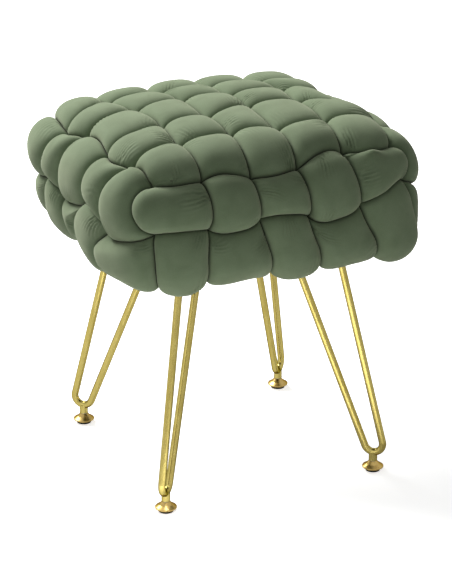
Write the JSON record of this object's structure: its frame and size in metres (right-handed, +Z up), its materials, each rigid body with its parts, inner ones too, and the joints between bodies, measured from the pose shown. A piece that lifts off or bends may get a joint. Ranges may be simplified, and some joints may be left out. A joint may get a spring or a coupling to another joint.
{
  "type": "woven footstool",
  "caption": "Upholstered footstool with a seat plaited from thick padded strands over a foam block, on hairpin legs with levelling feet.",
  "frame": {"origin": "on the floor, below the middle of the seat", "axes": "+Z up, +X to the right of someone who looks at the front, the front faces -Y"},
  "size_m": [0.3949, 0.3668, 0.4509],
  "materials": {
    "velvet": "matt sage green velvet over soft filling",
    "foam": "open-cell upholstery foam",
    "dust_cloth": "black non-woven cloth",
    "plywood": "plain birch plywood",
    "brass_plated_steel": "satin pale brass plating on steel rod",
    "polished_brass": "polished brass plating",
    "zinc_steel": "zinc plated",
    "black_steel": "black oxide",
    "black_pad": "matt black"
  },
  "bodies": {
    "stool": {"seat_board": "plywood", "foam_core": "foam", "dust_cover": "dust_cloth", "tee_nuts": "zinc_steel", "plate_screws": "black_steel", "column_strand_1": "velvet", "column_strand_2": "velvet", "column_strand_3": "velvet", "column_strand_4": "velvet", "column_strand_5": "velvet", "row_strand_1": "velvet", "row_strand_2": "velvet", "row_strand_3": "velvet", "row_strand_4": "velvet", "row_strand_5": "velvet", "upper_band": "velvet", "lower_band": "velvet", "front_left_plate": "brass_plated_steel", "front_left_rod": "brass_plated_steel", "front_left_socket": "brass_plated_steel", "front_right_plate": "brass_plated_steel", "front_right_rod": "brass_plated_steel", "front_right_socket": "brass_plated_steel", "back_right_plate": "brass_plated_steel", "back_right_rod": "brass_plated_steel", "back_right_socket": "brass_plated_steel", "back_left_plate": "brass_plated_steel", "back_left_rod": "brass_plated_steel", "back_left_socket": "brass_plated_steel"},
    "front_left_screw": {"front_left_stem": "zinc_steel"},
    "front_left_foot": {"front_left_glide": "polished_brass", "front_left_pad": "black_pad"},
    "front_right_screw": {"front_right_stem": "zinc_steel"},
    "front_right_foot": {"front_right_glide": "polished_brass", "front_right_pad": "black_pad"},
    "back_right_screw": {"back_right_stem": "zinc_steel"},
    "back_right_foot": {"back_right_glide": "polished_brass", "back_right_pad": "black_pad"},
    "back_left_screw": {"back_left_stem": "zinc_steel"},
    "back_left_foot": {"back_left_glide": "polished_brass", "back_left_pad": "black_pad"}
  },
  "joints": [
    {"name": "front_left_travel", "type": "slide", "parent": "stool", "child": "front_left_screw", "axis": [0, 0, -1], "range_m": [0, 0.003]},
    {"name": "front_left_turn", "type": "hinge", "parent": "front_left_screw", "child": "front_left_foot", "pos_m": [-0.137, -0.137, 0.0085], "axis": [0, 0, -1], "range_deg": [0, 1080]},
    {"name": "front_right_travel", "type": "slide", "parent": "stool", "child": "front_right_screw", "axis": [0, 0, -1], "range_m": [0, 0.003]},
    {"name": "front_right_turn", "type": "hinge", "parent": "front_right_screw", "child": "front_right_foot", "pos_m": [0.137, -0.137, 0.0085], "axis": [0, 0, -1], "range_deg": [0, 1080]},
    {"name": "back_right_travel", "type": "slide", "parent": "stool", "child": "back_right_screw", "axis": [0, 0, -1], "range_m": [0, 0.003]},
    {"name": "back_right_turn", "type": "hinge", "parent": "back_right_screw", "child": "back_right_foot", "pos_m": [0.137, 0.137, 0.0085], "axis": [0, 0, -1], "range_deg": [0, 1080]},
    {"name": "back_left_travel", "type": "slide", "parent": "stool", "child": "back_left_screw", "axis": [0, 0, -1], "range_m": [0, 0.003]},
    {"name": "back_left_turn", "type": "hinge", "parent": "back_left_screw", "child": "back_left_foot", "pos_m": [-0.137, 0.137, 0.0085], "axis": [0, 0, -1], "range_deg": [0, 1080]}
  ],
  "couplings": [
    {"joint": "front_left_travel", "follows": "front_left_turn", "m_per_rad": 0.00015915},
    {"joint": "front_right_travel", "follows": "front_right_turn", "m_per_rad": 0.00015915},
    {"joint": "back_right_travel", "follows": "back_right_turn", "m_per_rad": 0.00015915},
    {"joint": "back_left_travel", "follows": "back_left_turn", "m_per_rad": 0.00015915}
  ]
}
